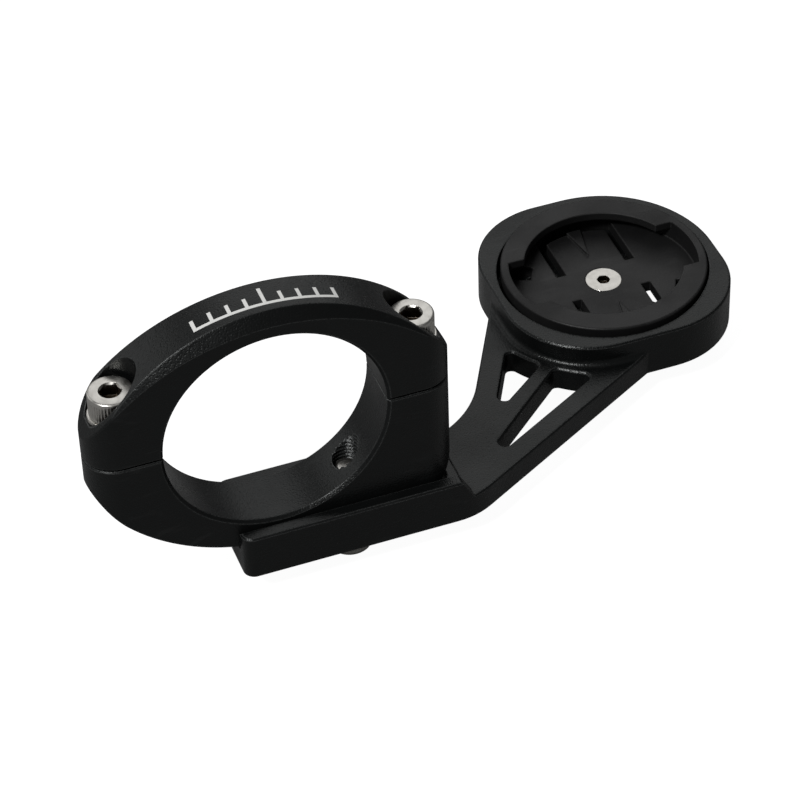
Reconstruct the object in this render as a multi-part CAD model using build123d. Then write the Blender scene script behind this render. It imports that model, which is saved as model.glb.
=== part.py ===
from build123d import *
import os
from math import cos, pi, radians, sin, sqrt

# Out-front handlebar mount for a cycling computer, in millimetres.
# Origin: bore axis at the middle of the clamp. +X points forward, +Y along the bar, +Z up.

# Handlebar clamp
bar_diameter = 35.0
clamp_width = 10.0
split_gap = 0.3          # between cap and base when tightened on the bar
crown_wall = 4.3         # cap thickness above the bore
keel_wall = 4.7          # base thickness below the bore
outer_radius = 32.2      # both outer arcs
bolt_offset = 23.3       # bore axis to each clamp bolt
ear_overhang = 0.3       # ear round centre beyond the bolt axis
bore_chamfer = 0.5
edge_break = 0.3         # small chamfer on handled edges
edge_round = 0.35        # rounding of the clamp's outer edges
split_break = 0.2        # chamfer round the split between cap and base
bevel_drop = 2.0         # crown bevel, down the side face
bevel_run = 1.7          # crown bevel, in from the side face
bevel_reach = 26.0       # crown bevel fades out this far from the middle
toe_radius = 10.0        # front lower corner of the base
toe_overrun = 0.3        # toe arc ends this far ahead of the ear
seat_height = 6.7        # washer seat above the bore axis

# M4 socket head cap screws and washers
bolt_diameter = 4.0
thread_pitch = 0.7
thread_depth = 0.4
thread_runout = 1.0      # plain length at the two ends of a shank
head_diameter = 7.0
head_height = 4.0
head_chamfer = 0.35
knurl_teeth = 42
knurl_depth = 0.16
key_width = 3.0
key_depth = 2.2
clamp_bolt_length = 16.0
arm_bolt_length = 12.0
washer_diameter = 7.6
washer_thickness = 0.8
washer_hole = 4.3
washer_chamfer = 0.1
thread_clearance = 0.04  # radial, screw in its thread
bolt_clearance = 0.25    # radial, screw in a plain hole
pocket_clearance = 0.3   # radial, washer in its pocket

# Arm plate
plate_thickness = 8.0
plate_width = 14.7
plate_tail = 7.0         # plate behind the bore axis
plate_corner = 1.8
channel_depth = 3.8
channel_clearance = 0.05  # each side of the base
channel_end = 29.7       # front of the channel, ahead of the bore axis
arm_step = 0.2           # arm top above the channel floor
rim_end = 28.3           # front of the channel rims, along their top
rim_ramp = 2.0           # length of the slope at the front of each rim
arm_bolt_offset = 12.0   # bore axis to the arm bolt
slot_back = 6.15         # slot behind the arm bolt, and
slot_front = 14.0        # ahead of it, between the centres of its round ends
near_angle = 29.3        # near edge of the arm, from +X
near_inset = 16.6        # near edge line to the socket centre
near_radius = 12.0
far_angle = 62.0         # far edge of the arm, from +X
far_inset = 17.9         # far edge line to the socket centre
far_radius = 18.0
near_rib = 3.7
far_rib = 3.8
far_window_angle = 37.7  # middle rib's edge at the far window, from +X
far_window_inset = 1.25  # that edge's line to the socket centre
near_window_angle = 41.3  # middle rib's edge at the near window
near_window_inset = 2.25
window_gap = 3.6         # ring of arm left between windows and holder
window_corner = 1.0
root_fillet = 1.0        # where the holder wall meets the arm

# Holder at the end of the arm
socket_x = 68.6
socket_y = 33.0
holder_half = 19.2
holder_corner = 14.2
holder_fit = 0.35        # radial, insert in its pocket
pocket_shift = 0.8       # crescent relief behind the insert
floor_window_offset = 9.1
floor_window_width = 7.0
floor_window_length = 15.0

# Quarter-turn insert
insert_diameter = 34.0
insert_proud = 0.85      # insert above the holder rim
insert_height = 5.6
insert_floor = 2.0
lip_diameter = 26.2
tab_diameter = 31.3
lip_thickness = 1.4
entry_width = 11.5       # gaps that the computer's tabs enter by
tongue_slot_offset = 6.1
tongue_slot_width = 1.7
tongue_slot_start = 3.3
rib_start = 6.4
rib_width = 2.4
rib_height = 0.5
tongue_slot_margin = 0.4  # wall left between a tongue slot and the tab groove
relief_start = 21.5      # floor relief at one end of each lip, from the entry gap's middle
relief_angle = 15.0
relief_inset = 1.2       # relief reaches this far inside the lip

# M3 countersunk screw
screw_diameter = 3.0
screw_head = 6.0
screw_rim = 0.2          # straight edge above the cone
screw_length = 5.0
screw_key = 2.0
screw_key_depth = 1.1
screw_clearance = 0.1    # radial, in the insert
cone_clearance = 0.02    # along the axis, under the cone

bore_radius = bar_diameter / 2
half_width = clamp_width / 2
ear_centre = bolt_offset + ear_overhang
clamp_end = ear_centre + half_width
crown_top = bore_radius + crown_wall
floor_z = -(bore_radius + keel_wall)
rim_z = floor_z + channel_depth
under_z = rim_z - plate_thickness
arm_z = floor_z + arm_step
tapped_radius = bolt_diameter / 2 + thread_clearance
clear_radius = bolt_diameter / 2 + bolt_clearance
insert_radius = insert_diameter / 2
insert_top = rim_z + insert_proud
insert_bottom = insert_top - insert_height
deck_z = insert_bottom + insert_floor
tab_radius = tab_diameter / 2
socket = Vector(socket_x, socket_y)
far = 100.0              # beyond every face
overcut = 1.0            # cutters reach this far past a face
tolerance = 0.01         # for picking edges by height


def block(x0, x1, y0, y1, z0, z1):
    """Axis-aligned box between two corners."""
    return Pos((x0 + x1) / 2, (y0 + y1) / 2, (z0 + z1) / 2) * Box(x1 - x0, y1 - y0, z1 - z0)


def post(x, y, z0, z1, radius):
    """Upright cylinder."""
    return Pos(x, y, (z0 + z1) / 2) * Cylinder(radius, z1 - z0)


def along_bar(solid, z=0.0):
    """Turn a solid made along Z so that it lies along the bar."""
    return Pos(0, 0, z) * Rot(90, 0, 0) * solid


def clamp_blank(outer_z, sign):
    """Clamp body bounded by one outer arc, with round ears in plan."""
    plan = Rectangle(2 * ear_centre, clamp_width)
    plan += Pos(-ear_centre, 0) * Circle(half_width)
    plan += Pos(ear_centre, 0) * Circle(half_width)
    body = Pos(0, 0, -far / 2) * extrude(plan, far)
    centre_z = outer_z - sign * outer_radius
    return body & along_bar(Cylinder(outer_radius, 2 * clamp_width), centre_z)


def flat_at(edge, level):
    """True for an edge that lies wholly at this height."""
    box = edge.bounding_box()
    return abs(box.min.Z - level) < tolerance and abs(box.max.Z - level) < tolerance


def outer_edges(body):
    """Edges between the clamp's outer arcs and its sides, away from the split."""
    chosen = []
    for edge in body.edges():
        box = edge.bounding_box()
        upright = box.max.X - box.min.X < tolerance and box.max.Y - box.min.Y < tolerance
        at_split = min(abs(box.min.Z), abs(box.max.Z)) < split_gap
        on_side = abs(abs(edge.center().Y) - half_width) < tolerance
        if not upright and not at_split and (on_side or edge.geom_type == GeomType.BSPLINE):
            chosen.append(edge)
    return chosen


def finished(body, split_z):
    """Clamp blank with its outer edges rounded and its split edges broken."""
    body = fillet(outer_edges(body), edge_round)
    return chamfer([edge for edge in body.edges() if flat_at(edge, split_z)], split_break)


def bore_cut():
    """Handlebar bore with a chamfer at each side face."""
    cut = along_bar(Cylinder(bore_radius, 2 * clamp_width))
    for side in (-1, 1):
        mouth = Cone(bore_radius, bore_radius + bore_chamfer, bore_chamfer)
        face = half_width - bore_chamfer / 2
        cut += Pos(0, side * face, 0) * Rot(-90 * side, 0, 0) * mouth
    return cut


def crown_bevel():
    """The two wedges that a fading bevel takes off the sides of the cap's crown."""
    low_top = crown_top - bevel_drop
    outer_centre = crown_top - outer_radius
    end_z = outer_centre + sqrt(outer_radius ** 2 - bevel_reach ** 2)
    rise = low_top - end_z
    small = (bevel_reach ** 2 + rise ** 2) / (2 * rise)
    cuts = []
    for side in (-1, 1):
        y_mid = side * (half_width - bevel_run / 2)
        wedge = Pos(0, y_mid, 0) * Box(far, bevel_run, far)
        cone = Rot(-90 * side, 0, 0) * Cone(small + bevel_drop, small, bevel_run)
        cuts.append(wedge - Pos(0, y_mid, low_top - small) * cone)
    return cuts


def cap():
    """Upper half of the clamp, with the two screw pockets."""
    body = clamp_blank(crown_top, 1)
    body &= block(-far, far, -far, far, split_gap / 2, far)
    body = finished(body, split_gap / 2)
    for wedge in crown_bevel():
        body -= wedge
    body -= bore_cut()
    for side in (-1, 1):
        x = side * bolt_offset
        pocket = washer_diameter / 2 + pocket_clearance
        body -= post(x, 0, seat_height, far, pocket)
        body -= post(x, 0, -far, far, clear_radius)
    return body


def thread_grooves(z0, z1):
    """Rings that stand for the thread in an open tapped hole."""
    count = int((z1 - z0) / thread_pitch)
    outline = [(0, z0)]
    for turn in range(count):
        low = z0 + turn * thread_pitch
        outline.append((tapped_radius, low))
        outline.append((tapped_radius + thread_depth, low + thread_pitch / 2))
    outline.append((tapped_radius, z0 + count * thread_pitch))
    outline.append((0, z0 + count * thread_pitch))
    face = make_face(Polyline(*[(r, 0, z) for r, z in outline], close=True))
    return revolve(face, Axis.Z)


def base():
    """Lower half of the clamp, with the foot that stands in the arm's channel."""
    body = clamp_blank(floor_z, -1)
    foot = block(0, clamp_end + toe_overrun, -half_width, half_width, floor_z, 0)
    toe = [edge for edge in foot.edges().filter_by(Axis.Y)
           if edge.center().X > 1 and edge.center().Z < -1]
    foot = fillet(toe, toe_radius)
    plan = block(-far, ear_centre, -half_width, half_width, -far, far)
    foot &= plan + post(ear_centre, 0, -far, far, half_width)
    body = (body + foot) & block(-far, far, -far, far, -far, -split_gap / 2)
    body = finished(body, -split_gap / 2)
    body -= bore_cut()
    for side in (-1, 1):
        body -= post(side * bolt_offset, 0, -far, far, tapped_radius)
    body -= Pos(arm_bolt_offset, 0, 0) * thread_grooves(floor_z, 0)
    return body


def cap_screw(length):
    """Socket head cap screw, head up, with the underside of its head at z = 0."""
    teeth = []
    for tooth in range(knurl_teeth):
        for part, radius in ((0.0, head_diameter / 2), (0.5, head_diameter / 2 - knurl_depth)):
            angle = 2 * pi * (tooth + part) / knurl_teeth
            teeth.append((radius * cos(angle), radius * sin(angle)))
    head = extrude(make_face(Polyline(*teeth, close=True)), head_height)
    smooth = Pos(0, 0, head_height / 2) * Cylinder(head_diameter / 2, head_height)
    head &= chamfer(smooth.edges().group_by(Axis.Z)[-1], head_chamfer)
    socket_cut = extrude(RegularPolygon(key_width / sqrt(3), 6), key_depth)
    head -= Pos(0, 0, head_height - key_depth) * socket_cut
    return head + threaded_shank(bolt_diameter / 2, length)


def threaded_shank(radius, length):
    """Shank below z = 0 whose thread is a stack of V rings, with a cone tip."""
    turns = int((length - thread_runout) / thread_pitch)
    start = -(length - turns * thread_pitch) / 2
    outline = [(0, 0), (radius, 0), (radius, start)]
    for turn in range(turns):
        low = start - turn * thread_pitch
        outline.append((radius - thread_depth, low - thread_pitch / 2))
        outline.append((radius, low - thread_pitch))
    outline.append((radius - thread_depth, -length))
    outline.append((0, -length))
    face = make_face(Polyline(*[(r, 0, z) for r, z in outline], close=True))
    return revolve(face, Axis.Z)


def washer():
    """Plain washer with its top at z = 0."""
    ring = Pos(0, 0, -washer_thickness / 2) * Cylinder(washer_diameter / 2, washer_thickness)
    ring = chamfer(ring.edges(), washer_chamfer)
    return ring - Cylinder(washer_hole / 2, 4 * washer_thickness)


def line_through(angle, inset, side):
    """Point nearest the socket and direction of a line at this angle and distance from it."""
    along = Vector(cos(radians(angle)), sin(radians(angle)))
    across = Vector(-along.Y, along.X) * side
    return socket + across * inset, along


def at_y(point, along, y):
    """Point of a line at this y."""
    return point + along * ((y - point.Y) / along.Y)


def meet(p, u, q, v):
    """Crossing point of two lines, each given by a point and a direction."""
    gap = q - p
    return p + u * ((gap.X * v.Y - gap.Y * v.X) / (u.X * v.Y - u.Y * v.X))


def corner(face, point, radius):
    """Round the corner of a face that lies nearest this point."""
    nearest = face.vertices().sort_by_distance((point.X, point.Y, 0))[0]
    return fillet(nearest, radius)


def arm_plan():
    """Outline of channel plate and arm, seen from above."""
    half = plate_width / 2
    near_point, near_dir = line_through(near_angle, near_inset, -1)
    far_point, far_dir = line_through(far_angle, far_inset, 1)
    near_bend = at_y(near_point, near_dir, -half)
    far_bend = at_y(far_point, far_dir, half)
    points = [Vector(-plate_tail, -half), near_bend, near_point, socket, far_point, far_bend,
              Vector(-plate_tail, half)]
    face = make_face(Polyline(*points, close=True))
    face = corner(face, near_bend, near_radius)
    face = corner(face, far_bend, far_radius)
    for side in (-1, 1):
        face = corner(face, Vector(-plate_tail, side * half), plate_corner)
    return face


def holder_plan(half, radius):
    """Rounded square about the socket centre; the corner ahead and far is fully round."""
    face = Rectangle(2 * half, 2 * half)
    for x, y in ((-half, half), (-half, -half), (half, -half)):
        face = corner(face, Vector(x, y), radius)
    face = corner(face, Vector(half, half), half)
    return Pos(socket_x, socket_y) * face


def windows():
    """The two openings that leave three ribs in the arm."""
    near_point, near_dir = line_through(near_angle, near_inset - near_rib, -1)
    far_point, far_dir = line_through(far_angle, far_inset - far_rib, 1)
    near_mid = line_through(near_window_angle, near_window_inset, -1)
    far_mid = line_through(far_window_angle, far_window_inset, -1)
    ring = Pos(socket_x, socket_y) * Circle(holder_half + window_gap)
    openings = []
    for edge, rib in (((near_point, near_dir), near_mid), ((far_point, far_dir), far_mid)):
        tip = meet(*edge, *rib)
        outer = edge[0] + edge[1] * holder_half
        inner = rib[0] + rib[1] * holder_half
        face = make_face(Polyline(tip, outer, inner, close=True)) - ring
        face = face.faces().sort_by_distance((0, 0, 0))[0]
        openings.append(fillet(face.vertices(), window_corner))
    return openings


def edges_near_socket(body, level, reach):
    """Level edges at this height whose middle is within reach of the socket axis."""
    return [edge for edge in body.edges()
            if flat_at(edge, level) and from_socket(edge) < reach]


def from_socket(edge):
    """Level distance from the socket axis to the middle of an edge."""
    middle = edge @ 0.5
    return (Vector(middle.X, middle.Y) - socket).length


def arm():
    """Channel plate, arm and holder, machined from one plate."""
    plan = arm_plan()
    body = Pos(0, 0, under_z) * extrude(plan, arm_z - under_z)
    for opening in windows():
        body -= Pos(0, 0, under_z) * extrude(opening, plate_thickness)
    wall = Pos(0, 0, under_z) * extrude(holder_plan(holder_half, holder_corner), plate_thickness)
    body += wall
    body = fillet(edges_near_socket(body, arm_z, holder_half + window_gap / 2), root_fillet)
    body -= channel(floor_z, channel_end)
    body += rims(plan)
    body = chamfer(arm_top_edges(body), edge_break)
    body = chamfer(edges_near_socket(body, rim_z, holder_corner + holder_half), edge_break)
    body -= slot()
    body -= floor_openings()
    body = chamfer([edge for edge in body.edges() if flat_at(edge, under_z)], edge_break)
    return body - insert_pocket()


def arm_top_edges(body):
    """Edges of the arm's top face, apart from those at the holder's wall and the rims."""
    return [edge for edge in body.edges()
            if flat_at(edge, arm_z)
            and edge.bounding_box().max.X > rim_end + rim_ramp + tolerance
            and from_socket(edge) > holder_half + window_gap - tolerance]


def channel(z, front):
    """Cutter for the channel that the clamp's foot stands in, up from this height."""
    side = half_width + channel_clearance
    return block(-far, front, -side, side, z, far)


def rims(plan):
    """Channel walls, sloped down to the arm at their front ends."""
    raised = Pos(0, 0, under_z) * extrude(plan, plate_thickness)
    side = Polyline((-far, under_z), (rim_end + rim_ramp, under_z), (rim_end + rim_ramp, arm_z),
                    (rim_end, rim_z), (-far, rim_z), close=True)
    keep = extrude(Plane.XZ * make_face(side), far / 2, both=True)
    walls = (raised & keep) - channel(floor_z, rim_end + rim_ramp)
    return chamfer([edge for edge in walls.edges() if flat_at(edge, rim_z)], edge_break)


def slot():
    """Slot in the channel floor for the arm bolt."""
    middle = arm_bolt_offset + (slot_front - slot_back) / 2
    shape = SlotCenterToCenter(slot_back + slot_front, 2 * clear_radius)
    return Pos(middle, 0, under_z - overcut) * extrude(shape, plate_thickness)


def insert_pocket():
    """Round pocket for the insert, widened on its rear near side."""
    radius = insert_radius + holder_fit
    pocket = post(socket_x, socket_y, insert_bottom, far, radius)
    shift = pocket_shift / sqrt(2)
    return pocket + post(socket_x - shift, socket_y - shift, insert_bottom, far, radius)


def floor_openings():
    """Tapped hole and the two windows through the holder's floor."""
    cuts = post(socket_x, socket_y, -far, far, screw_diameter / 2 + thread_clearance)
    for side in (-1, 1):
        shape = Rot(0, 0, 90) * SlotOverall(floor_window_length, floor_window_width)
        hole = Pos(0, 0, under_z - overcut) * extrude(shape, plate_thickness)
        cuts += Pos(socket_x + side * floor_window_offset, socket_y, 0) * hole
    return cuts


def sector(radius, start, stop, z0, z1):
    """Upright wedge of a disc about the socket axis."""
    middle = radians((start + stop) / 2)
    half = radians((stop - start) / 2)
    reach = radius / cos(half)
    points = [(0, 0)] + [(reach * cos(middle + s * half), reach * sin(middle + s * half))
                         for s in (-1, 1)]
    face = make_face(Polyline(*points, close=True))
    return Pos(0, 0, z0) * extrude(face, z1 - z0)


def detent_rib(side):
    """Tapered rib on a spring tongue that the computer's tab clicks over."""
    end = lip_diameter / 2
    points = [(0, side * rib_start), (rib_width / 2, side * end), (-rib_width / 2, side * end)]
    rib = extrude(make_face(Polyline(*points, close=True)), rib_height + insert_floor / 2)
    return Pos(0, 0, deck_z - insert_floor / 2) * rib


def puck():
    """Quarter-turn insert: ring, two lips, two entry gaps and two spring tongues."""
    body = post(0, 0, insert_bottom, insert_top, insert_radius)
    body = fillet(body.edges().group_by(Axis.Z)[-1], edge_break)
    body -= post(0, 0, deck_z, far, lip_diameter / 2)
    body -= post(0, 0, deck_z, insert_top - lip_thickness, tab_radius)
    gap = block(-far, far, -entry_width / 2, entry_width / 2, deck_z, far)
    body -= gap & post(0, 0, deck_z, far, tab_radius)
    slot_end = tab_radius - tongue_slot_margin
    for side in (-1, 1):
        for across in (-1, 1):
            length = slot_end - tongue_slot_start
            cut = Pos(across * tongue_slot_offset, side * (slot_end + tongue_slot_start) / 2, 0) \
                * Box(tongue_slot_width, length, far)
            cut &= post(0, 0, insert_bottom - overcut, deck_z, tab_radius)
            body -= cut
        body += detent_rib(side)
        free_end = post(0, 0, insert_bottom - overcut, deck_z, tab_radius)
        free_end -= post(0, 0, insert_bottom - overcut, deck_z, lip_diameter / 2)
        reach = tongue_slot_offset + tongue_slot_width / 2
        free_end &= block(-reach, reach, min(0, side * far), max(0, side * far), -far, far)
        body -= free_end
    for turn in (180 - relief_start - relief_angle, 360 - relief_start - relief_angle):
        relief = sector(insert_diameter, turn, turn + relief_angle, insert_bottom - overcut, deck_z)
        relief &= post(0, 0, -far, far, tab_radius)
        relief -= post(0, 0, -far, far, lip_diameter / 2 - relief_inset)
        body -= relief
    body -= screw_seat()
    return Pos(socket_x, socket_y, 0) * body


def screw_cone(height):
    """Ninety degree cone and straight rim of a countersunk head, top at z = 0."""
    radius = screw_head / 2
    cone = radius - screw_diameter / 2
    head = Pos(0, 0, -height / 2) * Cylinder(radius, height)
    return head + Pos(0, 0, -height - cone / 2) * Cone(screw_diameter / 2, radius, cone)


def screw_seat():
    """Countersunk hole in the insert's floor."""
    hole = Pos(0, 0, deck_z) * screw_cone(screw_rim + cone_clearance)
    hole += post(0, 0, deck_z, deck_z + overcut, screw_head / 2)
    return hole + post(0, 0, -far, deck_z, screw_diameter / 2 + screw_clearance)


def countersunk_screw():
    """M3 countersunk screw, flush with the insert's floor."""
    head = screw_cone(screw_rim) + threaded_shank(screw_diameter / 2, screw_length)
    key = extrude(RegularPolygon(screw_key / sqrt(3), 6), screw_key_depth)
    return head - Pos(0, 0, -screw_key_depth) * key


def main():
    """Build every piece and write one STEP file each."""
    os.makedirs("parts", exist_ok=True)
    head_z = seat_height + washer_thickness
    under_head = under_z - washer_thickness
    pieces = {
        "clamp_base": base(),
        "clamp_cap": cap(),
        "arm": arm(),
        "arm_bolt": Pos(arm_bolt_offset, 0, under_head) * Rot(180, 0, 0) * cap_screw(arm_bolt_length),
        "arm_washer": Pos(arm_bolt_offset, 0, under_z) * washer(),
        "quarter_turn_insert": puck(),
        "insert_screw": Pos(socket_x, socket_y, deck_z) * countersunk_screw(),
    }
    for name, side in (("rear", -1), ("front", 1)):
        place = Pos(side * bolt_offset, 0, head_z)
        pieces["clamp_bolt_" + name] = place * cap_screw(clamp_bolt_length)
        pieces["clamp_washer_" + name] = place * washer()
    for name, shape in pieces.items():
        export_step(shape, "parts/" + name + ".step")


main()
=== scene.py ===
"""Details and finishes for an out-front handlebar mount, laid out as an add-on.

The metal plate parts and the quarter-turn insert are the frame's own nodes with better
finishes. The screws, the washers and the printed scale are modelled here.
"""

from math import cos, floor, pi, radians, sin, sqrt

import bmesh
import bpy
from bpy.props import FloatProperty, FloatVectorProperty, IntProperty, PointerProperty
from mathutils import Matrix, Vector


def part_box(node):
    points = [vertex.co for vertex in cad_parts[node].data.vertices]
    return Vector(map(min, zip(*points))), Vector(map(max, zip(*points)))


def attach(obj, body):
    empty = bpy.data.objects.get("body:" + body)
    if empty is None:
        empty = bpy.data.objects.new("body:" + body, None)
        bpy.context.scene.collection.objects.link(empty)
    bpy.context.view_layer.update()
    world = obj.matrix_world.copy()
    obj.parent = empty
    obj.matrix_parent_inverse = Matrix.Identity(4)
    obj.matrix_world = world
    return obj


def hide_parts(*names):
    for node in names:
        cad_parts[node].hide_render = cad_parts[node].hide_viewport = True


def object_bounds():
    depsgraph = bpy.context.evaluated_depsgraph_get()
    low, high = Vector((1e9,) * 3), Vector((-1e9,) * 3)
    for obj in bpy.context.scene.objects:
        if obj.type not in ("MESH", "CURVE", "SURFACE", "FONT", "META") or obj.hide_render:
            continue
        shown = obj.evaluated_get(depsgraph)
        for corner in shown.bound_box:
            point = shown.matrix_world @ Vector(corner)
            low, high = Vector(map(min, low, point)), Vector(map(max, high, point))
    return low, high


bl_info = {
    "name": "Handlebar Mount",
    "version": (1, 0, 0),
    "blender": (4, 5, 0),
    "location": "3D View > Sidebar > Mount",
    "description": "Details and finishes an out-front handlebar mount",
    "category": "Mesh",
}

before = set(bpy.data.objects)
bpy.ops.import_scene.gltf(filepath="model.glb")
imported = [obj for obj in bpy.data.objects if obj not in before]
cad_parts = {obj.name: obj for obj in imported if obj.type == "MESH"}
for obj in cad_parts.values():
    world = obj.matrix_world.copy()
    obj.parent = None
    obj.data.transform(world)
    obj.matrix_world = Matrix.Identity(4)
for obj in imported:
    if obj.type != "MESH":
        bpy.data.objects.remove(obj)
cad_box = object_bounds()

front_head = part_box("clamp_bolt_front")
flat_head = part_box("insert_screw")
cap_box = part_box("clamp_cap")

BUMP_DISTANCE = 0.0001  # metres of relief at a bump height of one
MERGE = 1e-7            # metres, doubles closer than this are one vertex
SEAT = 1e-5             # metres, keeps a washer's faces just clear of what they rest on
HEX_STEPS = 168         # divisions round a head, a multiple of its knurls and of six
WASHER_STEPS = 96       # divisions round a washer
THREAD_STEPS = 36       # divisions in a turn of thread
THREAD_DEPTH = 0.57     # share of the pitch
# Down the thread as a share of the pitch, and inwards as a share of its depth
THREAD_FORM = ((0.0, 0.0), (0.125, 0.0), (0.44, 1.0), (0.69, 1.0), (1.0, 0.0))
POINT_LENGTH = 0.6      # share of the pitch, tapered end of a shank
POINT_TAPER = 0.22      # share of the radius lost at the very end
ROOT = 0.0001           # metres that a shank starts inside its head
SHARP = radians(32)     # edges sharper than this aren't shaded smooth
HEAD_ROUND = 0.0004     # metres, rounding round the top of a cap screw's head
HEAD_FOOT = 0.00015     # metres, chamfer round the bottom of the head
KEY_CHAMFER = 0.00028   # metres, chamfer round a cap screw's socket
KNURL_FOOT = 0.0002     # metres from the bottom of the head to its knurls
KNURL_TOP = 0.0006      # metres from the knurls to the top of the head
FLAT_KEY_CHAMFER = 0.00004  # metres, chamfer round the countersunk screw's socket
FLAT_RIM = 0.0002       # metres, straight edge of the countersunk head
FLAT_BREAK = 0.00008    # metres, chamfer round the top of that head
WASHER_BREAK = 0.0001   # metres, chamfer round the bottom of a washer
WASHER_ROUND = 0.18     # share of the thickness rounded at the top of a washer
STEEL_EDGE = 0.00012    # metres, rounding that the steel gives to sharp edges
STEEL_RINGS = 7000.0    # turning marks to a metre
BLAST_RELIEF = 0.55     # bump strengths
MOULD_RELIEF = 0.2
RING_RELIEF = 0.12
INK_RELIEF = 0.2
BLAST_ROUGHNESS = 0.32
MOULD_ROUGHNESS = 0.52
STEEL_ROUGHNESS = 0.3
INK_ROUGHNESS = 0.45
SHORT_MARK = 0.6        # share of the middle bar's length
FLOOR_SIZE = 6.0        # metres, half the floor's side
# Name, offset from the target and side in metres, and the setting with its power
LAMPS = (
    ("key", (0.22, 0.64, 0.6), 0.8, "key_light"),
    ("back", (-0.6, 0.65, 0.38), 0.6, "back_light"),
    ("fill", (-0.52, -0.36, 0.75), 0.16, "fill_light"),
)


class MountScrewSizes(bpy.types.PropertyGroup):
    """Sizes of the cap screws, the countersunk screw and the washers."""

    head_diameter: FloatProperty(
        name="Head diameter", description="Across the knurled head of a cap screw",
        default=front_head[1].x - front_head[0].x, unit="LENGTH", precision=5)
    head_height: FloatProperty(
        name="Head height", description="Height of a cap screw's head",
        default=0.004, unit="LENGTH", precision=5)
    thread: FloatProperty(
        name="Thread diameter", description="Outside diameter of a cap screw's thread",
        default=0.004, unit="LENGTH", precision=5)
    pitch: FloatProperty(
        name="Thread pitch", description="Advance of a cap screw's thread in one turn",
        default=0.0007, unit="LENGTH", precision=5)
    key: FloatProperty(
        name="Key size", description="Across the flats of a cap screw's hexagon socket",
        default=0.003, unit="LENGTH", precision=5)
    key_depth: FloatProperty(
        name="Key depth", description="Depth of a cap screw's hexagon socket",
        default=0.0022, unit="LENGTH", precision=5)
    knurls: IntProperty(
        name="Knurls", description="Grooves round a cap screw's head", default=42, min=12)
    knurl_depth: FloatProperty(
        name="Knurl depth", description="Depth of the grooves round a cap screw's head",
        default=0.00015, unit="LENGTH", precision=5)
    flat_diameter: FloatProperty(
        name="Countersunk head", description="Across the countersunk screw's head",
        default=flat_head[1].x - flat_head[0].x, unit="LENGTH", precision=5)
    flat_thread: FloatProperty(
        name="Countersunk thread", description="Outside diameter of that screw's thread",
        default=0.003, unit="LENGTH", precision=5)
    flat_pitch: FloatProperty(
        name="Countersunk pitch", description="Advance of that screw's thread in one turn",
        default=0.0005, unit="LENGTH", precision=5)
    flat_key: FloatProperty(
        name="Countersunk key", description="Across the flats of that screw's socket",
        default=0.002, unit="LENGTH", precision=5)
    flat_key_depth: FloatProperty(
        name="Countersunk key depth", description="Depth of that screw's socket",
        default=0.0011, unit="LENGTH", precision=5)
    washer_hole: FloatProperty(
        name="Washer hole", description="Diameter of the hole in a washer",
        default=0.0043, unit="LENGTH", precision=5)


class MountScaleSizes(bpy.types.PropertyGroup):
    """Sizes of the alignment scale printed on the cap's crown."""

    marks: IntProperty(
        name="Marks", description="Number of bars in the scale", default=9, min=3)
    spacing: FloatProperty(
        name="Spacing", description="Distance between bars along the crown",
        default=0.0027, unit="LENGTH", precision=5)
    centre: FloatProperty(
        name="Centre", description="Middle bar, ahead of the bore's axis",
        default=0.0005, unit="LENGTH", precision=5)
    length: FloatProperty(
        name="Bar length", description="Length of the middle bar across the crown",
        default=0.0036, unit="LENGTH", precision=5)
    width: FloatProperty(
        name="Bar width", description="Width of a bar", default=0.00055,
        unit="LENGTH", precision=5)
    crown_radius: FloatProperty(
        name="Crown radius", description="Radius of the cap's outer arc",
        default=0.0322, unit="LENGTH", precision=5)
    ink: FloatProperty(
        name="Ink", description="How far the print stands above the metal",
        default=0.00002, unit="LENGTH", precision=5)


class MountFinishes(bpy.types.PropertyGroup):
    """Colours and surface values of the finishes."""

    anodised: FloatVectorProperty(
        name="Anodised black", description="Colour of the anodised plate parts",
        subtype="COLOR", size=3, default=(0.0038, 0.0042, 0.0043), min=0, max=1)
    # Lighter colour along the plate parts' edges: partly real edge wear, partly a painted
    # edge highlight.
    edge_wear_highlight: FloatVectorProperty(
        name="Worn edge and highlight", description="Colour of the anodised parts along their edges",
        subtype="COLOR", size=3, default=(0.16, 0.165, 0.165), min=0, max=1)
    plastic: FloatVectorProperty(
        name="Moulded black", description="Colour of the quarter-turn insert",
        subtype="COLOR", size=3, default=(0.006, 0.006, 0.0062), min=0, max=1)
    # Painted highlight: the insert's colour is lighter along its sharp edges.
    plastic_edge_highlight: FloatVectorProperty(
        name="Moulded edge highlight", description="Colour of the insert along its edges",
        subtype="COLOR", size=3, default=(0.04, 0.04, 0.04), min=0, max=1)
    steel: FloatVectorProperty(
        name="Stainless steel", description="Colour of the screws and washers",
        subtype="COLOR", size=3, default=(0.62, 0.605, 0.57), min=0, max=1)
    # Painted shade: the darker colour that ambient occlusion puts on the steel in its keys,
    # threads and other recesses.
    steel_recess_shade: FloatVectorProperty(
        name="Shade in steel recesses", description="Colour of the steel in its keys and threads",
        subtype="COLOR", size=3, default=(0.05, 0.036, 0.023), min=0, max=1)
    ink: FloatVectorProperty(
        name="Ink", description="Colour of the printed scale",
        subtype="COLOR", size=3, default=(0.72, 0.72, 0.7), min=0, max=1)
    blast: FloatProperty(
        name="Blast grain", description="Grains to a metre in the blasted finish",
        default=3600.0, min=100.0)
    spark: FloatProperty(
        name="Spark grain", description="Grains to a metre in the moulded texture",
        default=4500.0, min=100.0)
    edge_radius: FloatProperty(
        name="Edge radius", description="Rounding that the finish gives to sharp edges",
        default=0.00038, unit="LENGTH", precision=5)


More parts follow.
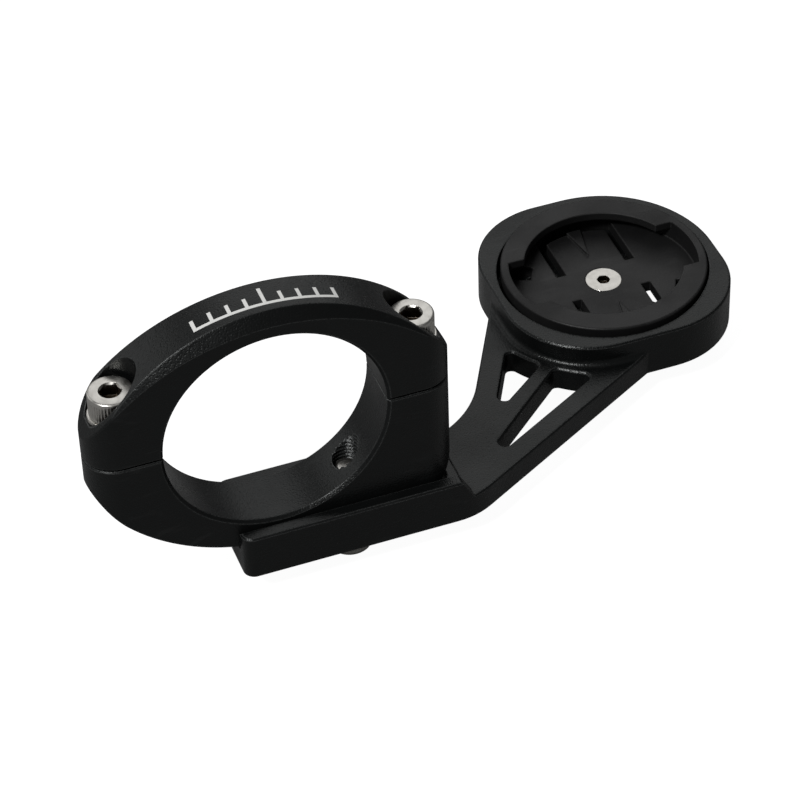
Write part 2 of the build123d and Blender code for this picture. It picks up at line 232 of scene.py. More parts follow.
class MountStageValues(bpy.types.PropertyGroup):
    """Floor, lights and camera."""

    azimuth: FloatProperty(
        name="Azimuth", description="Camera's turn about the vertical",
        subtype="ANGLE", default=-0.3297)
    elevation: FloatProperty(
        name="Elevation", description="Camera's height above the horizon",
        subtype="ANGLE", default=0.7202)
    roll: FloatProperty(
        name="Roll", description="Camera's turn about its own axis",
        subtype="ANGLE", default=-0.0367)
    distance: FloatProperty(
        name="Distance", description="Camera to its target", default=0.51345,
        unit="LENGTH", precision=4)
    target: FloatVectorProperty(
        name="Target", description="Point that the camera looks at",
        subtype="TRANSLATION", size=3, default=(0.0210949, 0.0, -0.0050626))
    lens: FloatProperty(
        name="Lens", description="Focal length in millimetres on a 36 mm sensor",
        default=152.56, min=1.0)
    floor: FloatVectorProperty(
        name="Floor", description="Colour of the floor", subtype="COLOR", size=3,
        default=(0.2, 0.2, 0.2), min=0, max=1)
    glow: FloatProperty(
        name="Floor glow",
        description="Light that the floor adds of its own, to soften shadows",
        default=0.96, min=0.0)
    lent: FloatProperty(
        name="Floor light", description="Light of its own that the floor lends the object",
        default=0.04, min=0.0)
    key_light: FloatProperty(
        name="Key light", description="Power of the large light in watts", default=1.9)
    back_light: FloatProperty(
        name="Back light", description="Power of the light behind the clamp in watts",
        default=0.9)
    fill_light: FloatProperty(
        name="Fill light", description="Power of the light beside the camera in watts",
        default=7.0)
    sky: FloatProperty(
        name="Surroundings", description="Brightness that the surroundings lend the object",
        default=0.11)


def settings():
    """The property groups that hold every size and colour."""
    return bpy.context.scene.mount_kit


# Mesh helpers

def new_piece(bm, name, body, material):
    """Turn a finished bmesh into a piece that rides on a body."""
    mesh = bpy.data.meshes.new(name)
    bm.to_mesh(mesh)
    bm.free()
    mesh.shade_smooth()
    mesh.set_sharp_from_angle(angle=SHARP)
    mesh.materials.append(material)
    piece = bpy.data.objects.new(name, mesh)
    bpy.context.scene.collection.objects.link(piece)
    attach(piece, body)
    return piece


def lathe(bm, outline, steps):
    """Spin an outline of (radius, height) points a full turn about Z."""
    points = [bm.verts.new((r, 0.0, z)) for r, z in outline]
    edges = [bm.edges.new(pair) for pair in zip(points, points[1:])]
    if outline[0][0] > 0 and outline[0] != outline[-1]:
        edges.append(bm.edges.new((points[-1], points[0])))
    bmesh.ops.spin(bm, geom=points + edges, cent=(0, 0, 0), axis=(0, 0, 1),
                   angle=2 * pi, steps=steps, use_merge=True)
    bmesh.ops.remove_doubles(bm, verts=bm.verts, dist=MERGE)
    bmesh.ops.dissolve_degenerate(bm, edges=bm.edges, dist=MERGE)


def helix(bm, radius, depth, pitch, top, bottom):
    """Threaded rod about Z, cut square and closed at both heights."""
    turns = int((top - bottom) / pitch) + 3
    start = top + pitch
    points = [bm.verts.new((radius - depth * inward, 0.0, start - pitch * down))
              for down, inward in THREAD_FORM]
    edges = [bm.edges.new(pair) for pair in zip(points, points[1:])]
    bmesh.ops.spin(bm, geom=points + edges, cent=(0, 0, 0), axis=(0, 0, 1),
                   dvec=(0, 0, -pitch / THREAD_STEPS), angle=2 * pi * turns,
                   steps=THREAD_STEPS * turns, use_merge=False)
    bmesh.ops.remove_doubles(bm, verts=bm.verts, dist=MERGE)
    for height, outward in ((top, 1), (bottom, -1)):
        cut = bmesh.ops.bisect_plane(
            bm, geom=bm.verts[:] + bm.edges[:] + bm.faces[:], dist=MERGE,
            plane_co=(0, 0, height), plane_no=(0, 0, outward), clear_outer=True)
        rim = [e for e in cut["geom_cut"] if isinstance(e, bmesh.types.BMEdge)]
        bmesh.ops.holes_fill(bm, edges=rim, sides=0)
    bmesh.ops.recalc_face_normals(bm, faces=bm.faces)


def hexagon(vertices):
    """Move vertices that lie on rings about Z out to hexagons round those rings."""
    for v in vertices:
        turn = Vector((v.co.x, v.co.y)).angle_signed(Vector((1, 0))) % (pi / 3)
        stretch = 1 / cos(turn - pi / 6)
        v.co.x *= stretch
        v.co.y *= stretch


def in_ring(bm, low_radius, high_radius, low, high):
    """Vertices between two radii and two heights."""
    return [v for v in bm.verts
            if low_radius < v.co.xy.length < high_radius and low < v.co.z < high]


def socket_wall(bm, across, low, high):
    """Vertices on the wall of a socket this wide, between two heights."""
    flat = across / 2
    return in_ring(bm, flat * 0.9, flat * 1.02, low, high)


def place(bm, centre, flip, turn):
    """Turn a piece made about Z, turn it upside down if asked, and move it to its place."""
    matrix = Matrix.Translation(centre) @ Matrix.Rotation(pi if flip else 0, 4, "X")
    matrix = matrix @ Matrix.Rotation(turn, 4, "Z")
    bmesh.ops.transform(bm, matrix=matrix, verts=bm.verts)


def closed(bm):
    """Merge doubles and make every face point outwards."""
    bmesh.ops.remove_doubles(bm, verts=bm.verts, dist=MERGE)
    bmesh.ops.recalc_face_normals(bm, faces=bm.faces)


# Shader helpers

def group(name, sockets, build):
    """Shader node group, made once."""
    tree = bpy.data.node_groups.get(name)
    if tree is None:
        tree = bpy.data.node_groups.new(name, "ShaderNodeTree")
        for socket_name, direction, kind, default in sockets:
            socket = tree.interface.new_socket(socket_name, in_out=direction,
                                               socket_type=kind)
            if default is not None:
                socket.default_value = default
        build(tree, tree.nodes.new("NodeGroupInput"), tree.nodes.new("NodeGroupOutput"))
    return tree


def add(tree, kind, **values):
    """Node with its fields and the defaults of its sockets set."""
    node = tree.nodes.new(kind)
    for key, value in values.items():
        if hasattr(node, key):
            setattr(node, key, value)
        else:
            node.inputs[key.replace("_", " ")].default_value = value
    return node


def maths(tree, operation, first, second=None, clamp=False):
    """Math node on sockets or numbers."""
    node = add(tree, "ShaderNodeMath", operation=operation, use_clamp=clamp)
    for i, value in enumerate((first, second)):
        if isinstance(value, (int, float)):
            node.inputs[i].default_value = value
        elif value is not None:
            tree.links.new(value, node.inputs[i])
    return node.outputs[0]


def ramp(tree, value, low, high, to_low=0.0, to_high=1.0):
    """Value carried smoothly from one span to another."""
    node = add(tree, "ShaderNodeMapRange", interpolation_type="SMOOTHSTEP")
    for key, number in (("From Min", low), ("From Max", high), ("To Min", to_low),
                        ("To Max", to_high)):
        node.inputs[key].default_value = number
    tree.links.new(value, node.inputs["Value"])
    return node.outputs["Result"]


def mixed(tree, factor, first, second):
    """Colour mix of two sockets or colours."""
    node = add(tree, "ShaderNodeMix", data_type="RGBA")
    tree.links.new(factor, node.inputs["Factor"])
    for key, value in ((6, first), (7, second)):
        if isinstance(value, bpy.types.NodeSocket):
            tree.links.new(value, node.inputs[key])
        else:
            node.inputs[key].default_value = (*value, 1.0)
    return node.outputs[2]


def grain_group():
    """Fine pits and grains of a blasted or moulded surface."""
    def build(tree, given, out):
        coarse = add(tree, "ShaderNodeTexNoise", Detail=3.0, Roughness=0.6)
        pits = add(tree, "ShaderNodeTexVoronoi", feature="F1")
        for node in (coarse, pits):
            tree.links.new(given.outputs["Vector"], node.inputs["Vector"])
        tree.links.new(given.outputs["Scale"], coarse.inputs["Scale"])
        tree.links.new(maths(tree, "MULTIPLY", given.outputs["Scale"], 0.7),
                       pits.inputs["Scale"])
        pit = ramp(tree, pits.outputs["Distance"], 0.0, 0.55)
        height = maths(tree, "ADD", maths(tree, "MULTIPLY", coarse.outputs["Fac"], 0.6),
                       maths(tree, "MULTIPLY", pit, 0.4))
        tree.links.new(height, out.inputs["Height"])
        sparkle = ramp(tree, coarse.outputs["Fac"], 0.56, 0.7)
        tree.links.new(sparkle, out.inputs["Sparkle"])

    return group("Grain", (("Vector", "INPUT", "NodeSocketVector", None),
                           ("Scale", "INPUT", "NodeSocketFloat", 3000.0),
                           ("Height", "OUTPUT", "NodeSocketFloat", None),
                           ("Sparkle", "OUTPUT", "NodeSocketFloat", None)), build)


def edge_group():
    """Mask that is one along sharp edges, broken up by grain, and the rounded normal. The
    finishes use the mask for real edge wear and for painted edge highlights.
    """
    def build(tree, given, out):
        bevel = add(tree, "ShaderNodeBevel", samples=6)
        tree.links.new(given.outputs["Radius"], bevel.inputs["Radius"])
        shape = add(tree, "ShaderNodeNewGeometry")
        dot = add(tree, "ShaderNodeVectorMath", operation="DOT_PRODUCT")
        tree.links.new(bevel.outputs["Normal"], dot.inputs[0])
        tree.links.new(shape.outputs["True Normal"], dot.inputs[1])
        turned = maths(tree, "SUBTRACT", 1.0, dot.outputs["Value"])
        edge = ramp(tree, turned, 0.004, 0.16)
        broken = ramp(tree, given.outputs["Breakup"], 0.35, 0.75, 0.25, 1.0)
        tree.links.new(maths(tree, "MULTIPLY", edge, broken), out.inputs["Mask"])
        tree.links.new(bevel.outputs["Normal"], out.inputs["Normal"])

    return group("Edge Wear", (("Radius", "INPUT", "NodeSocketFloat", 0.0002),
                               ("Breakup", "INPUT", "NodeSocketFloat", 0.5),
                               ("Mask", "OUTPUT", "NodeSocketFloat", None),
                               ("Normal", "OUTPUT", "NodeSocketVector", None)), build)


def handling_group():
    """Slow changes of gloss and shade over a surface, with a few faint rub marks."""
    def build(tree, given, out):
        cloud = add(tree, "ShaderNodeTexNoise", Scale=90.0, Detail=4.0, Roughness=0.55)
        rub = add(tree, "ShaderNodeTexNoise", Scale=420.0, Detail=2.0, Distortion=1.5)
        stretch = add(tree, "ShaderNodeMapping")
        stretch.inputs["Scale"].default_value = (0.25, 1.0, 1.0)
        tree.links.new(given.outputs["Vector"], cloud.inputs["Vector"])
        tree.links.new(given.outputs["Vector"], stretch.inputs["Vector"])
        tree.links.new(stretch.outputs["Vector"], rub.inputs["Vector"])
        slow = ramp(tree, cloud.outputs["Fac"], 0.3, 0.7, -0.5, 0.5)
        marks = ramp(tree, rub.outputs["Fac"], 0.6, 0.78)
        change = maths(tree, "MULTIPLY", slow, given.outputs["Amount"])
        tree.links.new(change, out.inputs["Change"])
        tree.links.new(maths(tree, "MULTIPLY", marks, given.outputs["Amount"]),
                       out.inputs["Marks"])

    return group("Handling", (("Vector", "INPUT", "NodeSocketVector", None),
                              ("Amount", "INPUT", "NodeSocketFloat", 0.2),
                              ("Change", "OUTPUT", "NodeSocketFloat", None),
                              ("Marks", "OUTPUT", "NodeSocketFloat", None)), build)


def turned_group():
    """Fine rings left by turning or cold forming, about the Z axis of its vector."""
    def build(tree, given, out):
        parts = add(tree, "ShaderNodeSeparateXYZ")
        tree.links.new(given.outputs["Vector"], parts.inputs["Vector"])
        squares = [maths(tree, "POWER", parts.outputs[i], 2.0) for i in range(2)]
        radius = maths(tree, "SQRT", maths(tree, "ADD", *squares))
        along = add(tree, "ShaderNodeCombineXYZ")
        tree.links.new(radius, along.inputs["X"])
        tree.links.new(parts.outputs["Z"], along.inputs["Y"])
        rings = add(tree, "ShaderNodeTexNoise", Detail=2.0, Roughness=0.7)
        tree.links.new(along.outputs["Vector"], rings.inputs["Vector"])
        tree.links.new(given.outputs["Scale"], rings.inputs["Scale"])
        grime = add(tree, "ShaderNodeTexNoise", Scale=900.0, Detail=3.0)
        tree.links.new(given.outputs["Vector"], grime.inputs["Vector"])
        tree.links.new(rings.outputs["Fac"], out.inputs["Rings"])
        tree.links.new(ramp(tree, grime.outputs["Fac"], 0.35, 0.7), out.inputs["Patches"])

    return group("Turned Steel", (("Vector", "INPUT", "NodeSocketVector", None),
                                  ("Scale", "INPUT", "NodeSocketFloat", 6000.0),
                                  ("Rings", "OUTPUT", "NodeSocketFloat", None),
                                  ("Patches", "OUTPUT", "NodeSocketFloat", None)), build)


def placed(tree, node_tree, links, **values):
    """Group node in a material, with links to some inputs and numbers in others."""
    node = tree.nodes.new("ShaderNodeGroup")
    node.node_tree = node_tree
    for key, socket in links.items():
        tree.links.new(socket, node.inputs[key])
    for key, value in values.items():
        node.inputs[key].default_value = value
    return node


def blank_material(name):
    """Material with a Principled shader, and its tree and object coordinates."""
    material = bpy.data.materials.new(name)
    material.use_nodes = True
    tree = material.node_tree
    shader = tree.nodes["Principled BSDF"]
    where = tree.nodes.new("ShaderNodeTexCoord").outputs["Object"]
    return material, tree, shader, where


def bump(tree, height, strength, normal=None):
    """Bump node on a height socket."""
    node = add(tree, "ShaderNodeBump", Strength=strength, Distance=BUMP_DISTANCE)
    tree.links.new(height, node.inputs["Height"])
    if normal is not None:
        tree.links.new(normal, node.inputs["Normal"])
    return node.outputs["Normal"]


def blasted_black():
    """Bead-blasted aluminium with a satin black anodised skin."""
    kit = settings().finishes
    material, tree, shader, where = blank_material("blasted black anodising")
    grain = placed(tree, grain_group(), {"Vector": where}, Scale=kit.blast)
    handling = placed(tree, handling_group(), {"Vector": where}, Amount=0.12)
    edge = placed(tree, edge_group(), {"Breakup": grain.outputs["Height"]},
                  Radius=kit.edge_radius)
    # Painted highlight and wear: the edge mask lightens the colour along sharp edges towards
    # the worn-edge colour. This is part real edge wear and part painted edge highlight, and
    # the grain's sparkle adds painted glints to it.
    wear_and_highlight = maths(tree, "MULTIPLY", edge.outputs["Mask"], 0.55)
    glint_fleck = maths(tree, "MULTIPLY", grain.outputs["Sparkle"], 0.22)
    marks = maths(tree, "MULTIPLY", handling.outputs["Marks"], 0.25)
    speckled_wear_and_glint = maths(tree, "MULTIPLY", wear_and_highlight, maths(tree, "ADD", glint_fleck, 0.8))
    shade = maths(tree, "ADD", speckled_wear_and_glint, marks, clamp=True)
    tree.links.new(mixed(tree, shade, kit.anodised, kit.edge_wear_highlight), shader.inputs["Base Color"])
    rough = maths(tree, "ADD", handling.outputs["Change"], BLAST_ROUGHNESS)
    rough = maths(tree, "SUBTRACT", rough, maths(tree, "MULTIPLY", glint_fleck, 0.5))
    tree.links.new(rough, shader.inputs["Roughness"])
    tree.links.new(bump(tree, grain.outputs["Height"], BLAST_RELIEF, edge.outputs["Normal"]),
                   shader.inputs["Normal"])
    shader.inputs["Metallic"].default_value = 0.0
    shader.inputs["IOR"].default_value = 1.5
    shader.inputs["Specular IOR Level"].default_value = 0.27
    shader.inputs["Specular Tint"].default_value = (0.97, 1.0, 0.99, 1.0)
    return material


def moulded_black():
    """Glass-filled nylon with a spark-eroded texture."""
    kit = settings().finishes
    material, tree, shader, where = blank_material("moulded black nylon")
    grain = placed(tree, grain_group(), {"Vector": where}, Scale=kit.spark)
    handling = placed(tree, handling_group(), {"Vector": where}, Amount=0.16)
    edge = placed(tree, edge_group(), {"Breakup": grain.outputs["Height"]},
                  Radius=kit.edge_radius)
    # Painted highlight: the edge mask lightens the insert's colour along its sharp edges.
    # The handling marks added to it are real rub marks.
    shade = maths(tree, "ADD", maths(tree, "MULTIPLY", edge.outputs["Mask"], 0.6),
                  handling.outputs["Marks"], clamp=True)
    tree.links.new(mixed(tree, shade, kit.plastic, kit.plastic_edge_highlight),
                   shader.inputs["Base Color"])
    tree.links.new(maths(tree, "ADD", handling.outputs["Change"], MOULD_ROUGHNESS),
                   shader.inputs["Roughness"])
    tree.links.new(bump(tree, grain.outputs["Height"], MOULD_RELIEF, edge.outputs["Normal"]),
                   shader.inputs["Normal"])
    shader.inputs["IOR"].default_value = 1.5
    shader.inputs["Specular IOR Level"].default_value = 0.34
    return material


def stainless(name, centre):
    """Cold-formed stainless steel with rings about an upright axis."""
    kit = settings().finishes
    material, tree, shader, where = blank_material(name)
    centred = add(tree, "ShaderNodeMapping")
    centred.inputs["Location"].default_value = (-centre[0], -centre[1], 0.0)
    tree.links.new(where, centred.inputs["Vector"])
    turned = placed(tree, turned_group(), {"Vector": centred.outputs["Vector"]},
                    Scale=STEEL_RINGS)
    edge = placed(tree, edge_group(), {"Breakup": turned.outputs["Patches"]},
                  Radius=STEEL_EDGE)
    # Painted shade: ambient occlusion darkens the steel's colour towards the dark recess
    # colour in keys, threads and other recesses.
    closeness = add(tree, "ShaderNodeAmbientOcclusion", samples=6, only_local=True,
                    Distance=0.003)
    recess_shade_mask = ramp(tree, closeness.outputs["AO"], 0.5, 0.9, 1.0, 0.0)
    shaded_steel = mixed(tree, recess_shade_mask, kit.steel, kit.steel_recess_shade)
    # Painted highlight: the steel's colour is lightened along its sharp edges.
    painted_edge_highlight = maths(tree, "MULTIPLY", edge.outputs["Mask"], 0.35)
    tree.links.new(mixed(tree, painted_edge_highlight, shaded_steel, (0.85, 0.83, 0.8)),
                   shader.inputs["Base Color"])
    rough = maths(tree, "ADD", maths(tree, "MULTIPLY", turned.outputs["Patches"], 0.12),
                  STEEL_ROUGHNESS)
    tree.links.new(rough, shader.inputs["Roughness"])
    tree.links.new(bump(tree, turned.outputs["Rings"], RING_RELIEF, edge.outputs["Normal"]),
                   shader.inputs["Normal"])
    shader.inputs["Metallic"].default_value = 1.0
    return material


def silver_ink():
    """Pad-printed silver ink, thin in places."""
    kit = settings().finishes
    material, tree, shader, where = blank_material("silver ink")
    grain = placed(tree, grain_group(), {"Vector": where}, Scale=kit.blast)
    thin = ramp(tree, grain.outputs["Height"], 0.2, 0.42, 0.45, 0.0)
    tree.links.new(mixed(tree, thin, kit.ink, kit.anodised), shader.inputs["Base Color"])
    tree.links.new(maths(tree, "ADD", maths(tree, "MULTIPLY", thin, 0.2), INK_ROUGHNESS),
                   shader.inputs["Roughness"])
    tree.links.new(bump(tree, grain.outputs["Height"], INK_RELIEF), shader.inputs["Normal"])
    return material


# Pieces

def refinish(nodes, material):
    """Give these frame nodes a finish in every slot."""
    for name in nodes:
        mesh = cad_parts[name].data
        mesh.materials.clear()
        mesh.materials.append(material)


def socket_outline(across, depth, chamfer, top):
    """Points down a hexagon socket, from its chamfer to the bottom of its drill cone."""
    flat = across / 2
    return [(flat + chamfer, top), (flat, top - chamfer), (flat, top - 0.5 * depth),
            (flat, top - depth), (0.35 * flat, top - depth - 0.3 * flat),
            (0.0, top - depth - 0.42 * flat)]


def knurl(bm, kit, low, high):
    """Press grooves into the head's wall between two heights."""
    radius = kit.head_diameter / 2
    for v in in_ring(bm, radius * 0.985, radius * 1.1, low, high):
        turn = Vector((v.co.x, v.co.y)).angle_signed(Vector((1, 0))) % (2 * pi)
        phase = turn * kit.knurls / (2 * pi)
        groove = abs(2 * (phase - floor(phase)) - 1)
        fade = min(1.0, (v.co.z - low) / kit.knurl_depth, (high - v.co.z) / kit.knurl_depth)
        shrink = 1 - kit.knurl_depth * groove * max(fade, 0.0) / radius
        v.co.x *= shrink
        v.co.y *= shrink


def cap_screw(length):
    """Socket head cap screw, head up, with the underside of its head at zero."""
    kit = settings().screws
    radius = kit.head_diameter / 2
    height = kit.head_height
    bm = bmesh.new()
    wall = [(radius, height * k / 12) for k in range(1, 11)]
    crown = [(radius - HEAD_ROUND + HEAD_ROUND * cos(a),
              height - HEAD_ROUND + HEAD_ROUND * sin(a))
             for a in (radians(5), radians(30), radians(55), radians(90))]
    outline = [(0.0, 0.0), (kit.thread / 2, 0.0), (radius - HEAD_FOOT, 0.0),
               (radius, HEAD_FOOT)] + wall + crown
    outline += socket_outline(kit.key, kit.key_depth, KEY_CHAMFER, height)
    lathe(bm, outline, HEX_STEPS)
    hexagon(socket_wall(bm, kit.key, height - kit.key_depth * 1.01, height - 0.0001))
    knurl(bm, kit, KNURL_FOOT, height - KNURL_TOP)
    closed(bm)
    add_shank(bm, kit.thread / 2, kit.pitch, ROOT, length)
    return bm


def add_shank(bm, radius, pitch, top, length):
    """Threaded shank with a chamfered point, from a height inside the head downwards."""
    rod = bmesh.new()
    helix(rod, radius, THREAD_DEPTH * pitch, pitch, top, -length)
    point = POINT_LENGTH * pitch
    for v in rod.verts:
        share = max(0.0, (-length + point - v.co.z) / point)
        v.co.x *= 1 - POINT_TAPER * share
        v.co.y *= 1 - POINT_TAPER * share
    mesh = bpy.data.meshes.new("rod")
    rod.to_mesh(mesh)
    rod.free()
    bm.from_mesh(mesh)
    bpy.data.meshes.remove(mesh)


def flat_screw(length):
    """Countersunk hexagon socket screw with the top of its head at zero."""
    kit = settings().screws
    radius = kit.flat_diameter / 2
    shank = kit.flat_thread / 2
    bm = bmesh.new()
    neck = shank - radius - FLAT_RIM
    outline = [(0.0, neck), (shank, neck),
               (radius, -FLAT_RIM), (radius, -FLAT_BREAK), (radius - FLAT_BREAK, 0.0),
               (radius * 0.72, 0.0)]
    outline += socket_outline(kit.flat_key, kit.flat_key_depth, FLAT_KEY_CHAMFER, 0.0)
    lathe(bm, outline, HEX_STEPS)
    hexagon(socket_wall(bm, kit.flat_key, -kit.flat_key_depth * 1.01, 0.00001))
    closed(bm)
    add_shank(bm, shank, kit.flat_pitch, neck + ROOT, length)
    return bm


def washer(kit, low, high, outside):
    """Stamped washer, rounded where the punch entered and sharp where it left."""
    thick = high - low
    hole = kit.washer_hole / 2
    bm = bmesh.new()
    soft = WASHER_ROUND * thick
    corner = [(outside - soft + soft * sin(a), high - soft + soft * cos(a))
              for a in (0.0, radians(30), radians(60), radians(90))]
    outline = corner + [(outside, low + WASHER_BREAK), (outside - WASHER_BREAK, low),
                        (hole + WASHER_BREAK, low), (hole, low + WASHER_BREAK),
                        (hole, high - soft), (hole + soft * 0.4, high)]
    lathe(bm, outline, WASHER_STEPS)
    closed(bm)
    return bm


def scale_bar(bm, kit, x, y, along, across):
    """One printed bar, flat, with cuts along its length so that it can follow the crown."""
    made = bmesh.ops.create_cube(bm, size=1.0)["verts"]
    bmesh.ops.scale(bm, vec=(along, across, 2 * kit.ink), verts=made)
    bmesh.ops.translate(bm, vec=(x, y, 0), verts=made)
    lengthwise = [e for e in {e for v in made for e in v.link_edges}
                  if abs(e.verts[0].co.x - e.verts[1].co.x) > MERGE]
    cuts = int(along / kit.width)
    bmesh.ops.subdivide_edges(bm, edges=lengthwise, cuts=cuts)


class MOUNT_OT_finish_plates(bpy.types.Operator):
    """Finish the clamp's two halves and the arm in blasted black"""

    bl_idname = "mount.finish_plates"
    bl_label = "Finish Plate Parts"

    def execute(self, context):
        refinish(("clamp_base", "clamp_cap", "arm"), blasted_black())
        return {"FINISHED"}


class MOUNT_OT_finish_insert(bpy.types.Operator):
    """Finish the quarter-turn insert in moulded black"""

    bl_idname = "mount.finish_insert"
    bl_label = "Finish Insert"

    def execute(self, context):
        refinish(("quarter_turn_insert",), moulded_black())
        return {"FINISHED"}


class MOUNT_OT_cap_screws(bpy.types.Operator):
    """Model the two clamp screws and the arm screw, with knurled heads and real threads"""

    bl_idname = "mount.cap_screws"
    bl_label = "Cap Screws"

    def execute(self, context):
        kit = context.scene.mount_kit.screws
        rows = (("clamp_bolt_rear", "rear_bolt", False, radians(-14)),
                ("clamp_bolt_front", "front_bolt", False, radians(-27)),
                ("arm_bolt", "bolt_under_arm", True, radians(14)))
        for node, body, flip, turn in rows:
            low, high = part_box(node)
            middle = (low + high) / 2
            seat = low.z + kit.head_height if flip else high.z - kit.head_height
            bm = cap_screw(high.z - low.z - kit.head_height)
            place(bm, (middle.x, middle.y, seat), flip, turn)
            steel = stainless("stainless " + body, middle)
            piece = new_piece(bm, node + "_detailed", body, steel)
            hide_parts(node)
        return {"FINISHED"}


class MOUNT_OT_washers(bpy.types.Operator):
    """Model the three stamped washers"""

    bl_idname = "mount.washers"
    bl_label = "Washers"

    def execute(self, context):
        kit = context.scene.mount_kit.screws
        rows = (("clamp_washer_rear", "cap"), ("clamp_washer_front", "cap"),
                ("arm_washer", "washer_under_arm"))
        for node, body in rows:
            low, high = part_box(node)
            middle = (low + high) / 2
            bm = washer(kit, low.z + SEAT, high.z - SEAT, (high.x - low.x) / 2)
            place(bm, (middle.x, middle.y, 0.0), False, 0.0)
            steel = stainless("stainless " + node, middle)
            piece = new_piece(bm, node + "_detailed", body, steel)
            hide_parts(node)
        return {"FINISHED"}


class MOUNT_OT_insert_screw(bpy.types.Operator):
    """Model the countersunk screw that holds the insert"""

    bl_idname = "mount.insert_screw"
    bl_label = "Insert Screw"

    def execute(self, context):
        low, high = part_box("insert_screw")
        middle = (low + high) / 2
        bm = flat_screw(high.z - low.z)
        place(bm, (middle.x, middle.y, high.z), False, radians(-19))
        steel = stainless("stainless insert screw", middle)
        piece = new_piece(bm, "insert_screw_detailed", "insert_fixing",
                          steel)
        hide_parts("insert_screw")
        return {"FINISHED"}


class MOUNT_OT_printed_scale(bpy.types.Operator):
    """Print a plain alignment scale on the cap's crown"""

    bl_idname = "mount.printed_scale"
    bl_label = "Printed Scale"

    def execute(self, context):
        kit = context.scene.mount_kit.scale
        centre_z = cap_box[1].z - kit.crown_radius
        bm = bmesh.new()
        middle = (kit.marks - 1) / 2
        run = kit.spacing * (kit.marks - 1) + kit.width
        scale_bar(bm, kit, kit.centre, -kit.length / 2, run, kit.width)
        for k in range(kit.marks):
            share = 1.0 if k == middle else SHORT_MARK
            x = kit.centre + (k - middle) * kit.spacing
            y = -kit.length / 2 + share * kit.length / 2
            scale_bar(bm, kit, x, y, kit.width, kit.length * share)
        for v in bm.verts:
            v.co.z += centre_z + sqrt(kit.crown_radius ** 2 - v.co.x ** 2)
        closed(bm)
        new_piece(bm, "printed_scale", "cap", silver_ink())
        return {"FINISHED"}


class MOUNT_OT_stage(bpy.types.Operator):
    """Set up the floor, the soft lights, the surroundings and the camera"""

    bl_idname = "mount.stage"
    bl_label = "Stage"

    def execute(self, context):
        kit = context.scene.mount_kit.stage
        make_floor(kit)
        target = Vector(kit.target)
        for name, offset, side, power in LAMPS:
            soft_light(name, target, Vector(offset), side, getattr(kit, power))
        make_surroundings(context, kit)
        make_camera(context, kit, target)
        return {"FINISHED"}


def make_floor(kit):
    """Plain pale floor under the lowest point of the object."""
    bm = bmesh.new()
    bmesh.ops.create_grid(bm, x_segments=2, y_segments=2, size=FLOOR_SIZE)
    bmesh.ops.translate(bm, vec=(0, 0, cad_box[0][2]), verts=bm.verts)
    mesh = bpy.data.meshes.new("floor")
    bm.to_mesh(mesh)
    bm.free()
    material, tree, shader = blank_material("pale floor")[:3]
    shader.inputs["Base Color"].default_value = (*kit.floor, 1.0)
    shader.inputs["Roughness"].default_value = 0.9
    shader.inputs["Specular IOR Level"].default_value = 0.1
    shader.inputs["Emission Color"].default_value = (1.0, 1.0, 1.0, 1.0)
    seen = tree.nodes.new("ShaderNodeLightPath").outputs["Is Camera Ray"]
    glow = add(tree, "ShaderNodeMapRange")
    glow.inputs["To Min"].default_value = kit.lent
    glow.inputs["To Max"].default_value = kit.glow
    tree.links.new(seen, glow.inputs["Value"])
    tree.links.new(glow.outputs["Result"], shader.inputs["Emission Strength"])
    mesh.materials.append(material)
    floor_piece = bpy.data.objects.new("floor", mesh)
    bpy.context.scene.collection.objects.link(floor_piece)


def soft_light(name, target, offset, side, power):
    """Square area light that faces the object."""
    data = bpy.data.lights.new(name, "AREA")
    data.size = side
    data.energy = power
    lamp = bpy.data.objects.new(name, data)
    lamp.location = target + offset
    lamp.rotation_euler = (-offset).to_track_quat("-Z", "Y").to_euler()
    bpy.context.scene.collection.objects.link(lamp)


def make_surroundings(context, kit):
    """White surroundings that lend the object less light than they show."""
    world = bpy.data.worlds.new("surroundings")
    context.scene.world = world
    world.use_nodes = True
    tree = world.node_tree
    sky = tree.nodes["Background"]
    sky.inputs["Color"].default_value = (1.0, 1.0, 1.0, 1.0)
    seen = tree.nodes.new("ShaderNodeLightPath").outputs["Is Camera Ray"]
    strength = add(tree, "ShaderNodeMapRange")
    strength.inputs["To Min"].default_value = kit.sky
    tree.links.new(seen, strength.inputs["Value"])
    tree.links.new(strength.outputs["Result"], sky.inputs["Strength"])


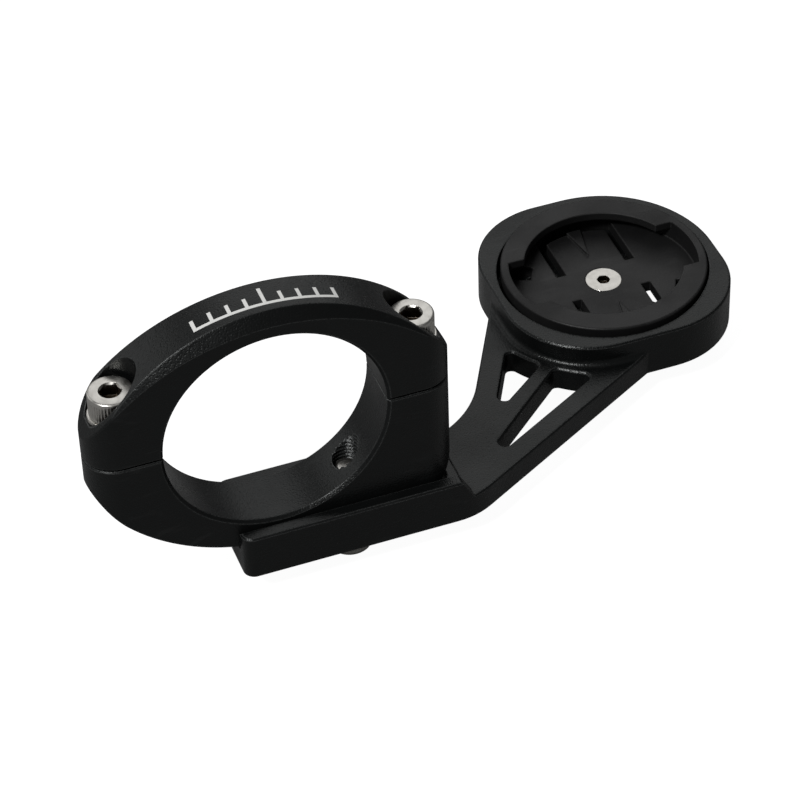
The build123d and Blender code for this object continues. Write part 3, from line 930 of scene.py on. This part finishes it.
def make_camera(context, kit, target):
    """Camera that looks down at the object from its near side."""
    a, e = kit.azimuth, kit.elevation
    back = Vector((sin(a) * cos(e), -cos(a) * cos(e), sin(e)))
    right = Vector((cos(a), sin(a), 0.0))
    up = back.cross(right)
    tilted = right * cos(kit.roll) + up * sin(kit.roll)
    above = up * cos(kit.roll) - right * sin(kit.roll)
    data = bpy.data.cameras.new("camera")
    data.lens = kit.lens
    data.clip_start = 0.01
    camera = bpy.data.objects.new("camera", data)
    basis = Matrix((tilted, above, back)).transposed()
    camera.matrix_world = Matrix.Translation(target + back * kit.distance) @ basis.to_4x4()
    context.scene.collection.objects.link(camera)
    context.scene.camera = camera
    context.scene.view_settings.view_transform = "Standard"


class MountKit(bpy.types.PropertyGroup):
    """Everything that a user can change."""

    screws: PointerProperty(type=MountScrewSizes)
    scale: PointerProperty(type=MountScaleSizes)
    finishes: PointerProperty(type=MountFinishes)
    stage: PointerProperty(type=MountStageValues)


OPERATORS = (MOUNT_OT_finish_plates, MOUNT_OT_finish_insert, MOUNT_OT_cap_screws,
             MOUNT_OT_washers, MOUNT_OT_insert_screw, MOUNT_OT_printed_scale,
             MOUNT_OT_stage)


class MOUNT_PT_panel(bpy.types.Panel):
    """Sidebar panel with the pieces in the order they are made"""

    bl_idname = "MOUNT_PT_panel"
    bl_label = "Handlebar Mount"
    bl_space_type = "VIEW_3D"
    bl_region_type = "UI"
    bl_category = "Mount"

    def draw(self, context):
        kit = context.scene.mount_kit
        for operator in OPERATORS:
            self.layout.operator(operator.bl_idname)
        for part in (kit.screws, kit.scale, kit.finishes, kit.stage):
            box = self.layout.box()
            for name in part.__annotations__:
                box.prop(part, name)


CLASSES = (MountScrewSizes, MountScaleSizes, MountFinishes, MountStageValues, MountKit,
           *OPERATORS, MOUNT_PT_panel)


def register():
    """Register the classes and hang the settings on the scene."""
    for cls in CLASSES:
        bpy.utils.register_class(cls)
    bpy.types.Scene.mount_kit = PointerProperty(type=MountKit)


def unregister():
    """Undo register."""
    del bpy.types.Scene.mount_kit
    for cls in reversed(CLASSES):
        bpy.utils.unregister_class(cls)


def main():
    """Register the classes, then make every piece and the stage."""
    register()
    for operator in OPERATORS:
        getattr(bpy.ops.mount, operator.bl_idname.split(".")[1])()


if __name__ == "__main__":
    main()
